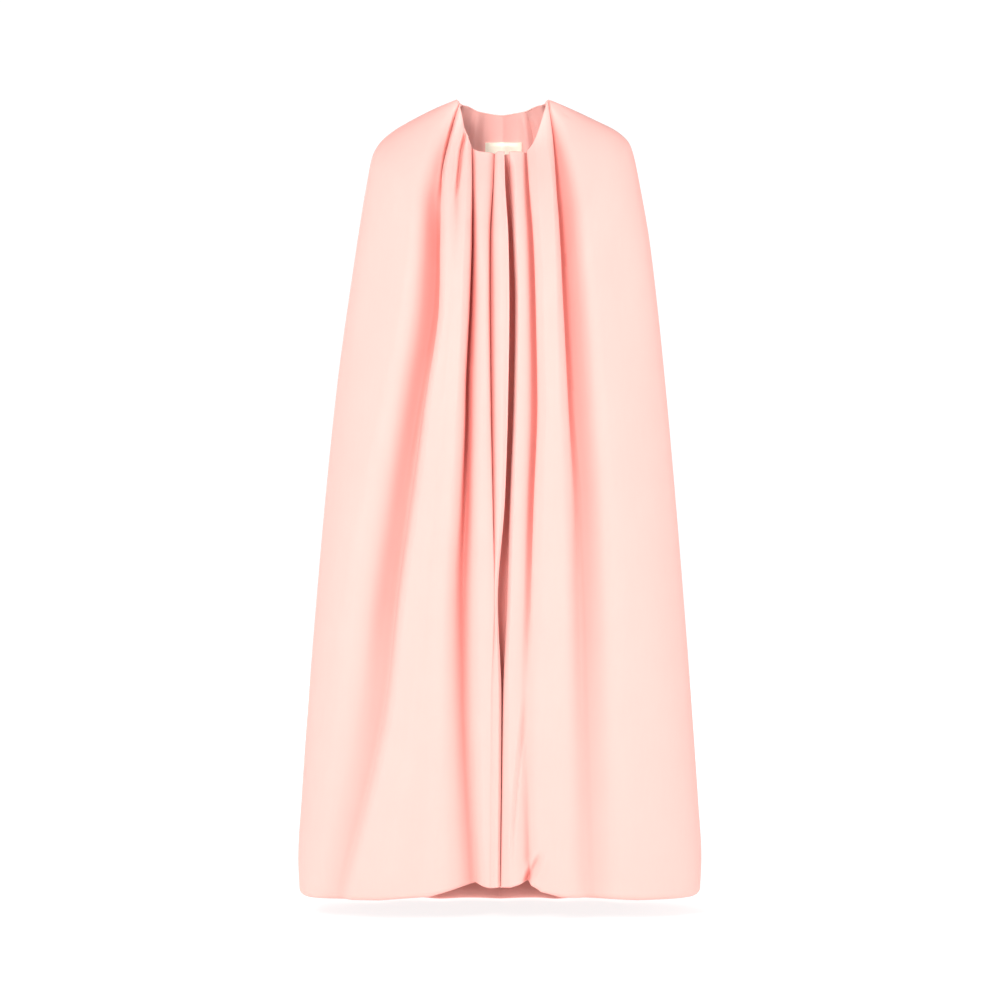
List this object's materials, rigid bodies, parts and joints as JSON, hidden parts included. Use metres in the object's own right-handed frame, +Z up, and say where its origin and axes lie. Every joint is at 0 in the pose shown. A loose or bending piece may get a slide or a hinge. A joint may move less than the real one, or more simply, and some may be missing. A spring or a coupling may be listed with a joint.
{
  "type": "cape",
  "caption": "Full-length hollow cape in the shape it has when worn: gathered round neckline, lapped open front, long vertical folds and a soft turned-under hem.",
  "frame": {"origin": "between the two high shoulder points of the neckline, where the wearer's shoulders carry the cape", "axes": "+Z up, the front faces -Y, +X to the right of somebody who looks at the front"},
  "size_m": [0.6386, 0.3228, 1.2938],
  "materials": {
    "cloth": "matte blush pink, smooth heavy crepe",
    "label": "cream woven tape, bare"
  },
  "bodies": {
    "root": {"front_left": "cloth", "front_right": "cloth", "back_left": "cloth", "back_right": "cloth", "neck_label": "label"}
  },
  "joints": []
}
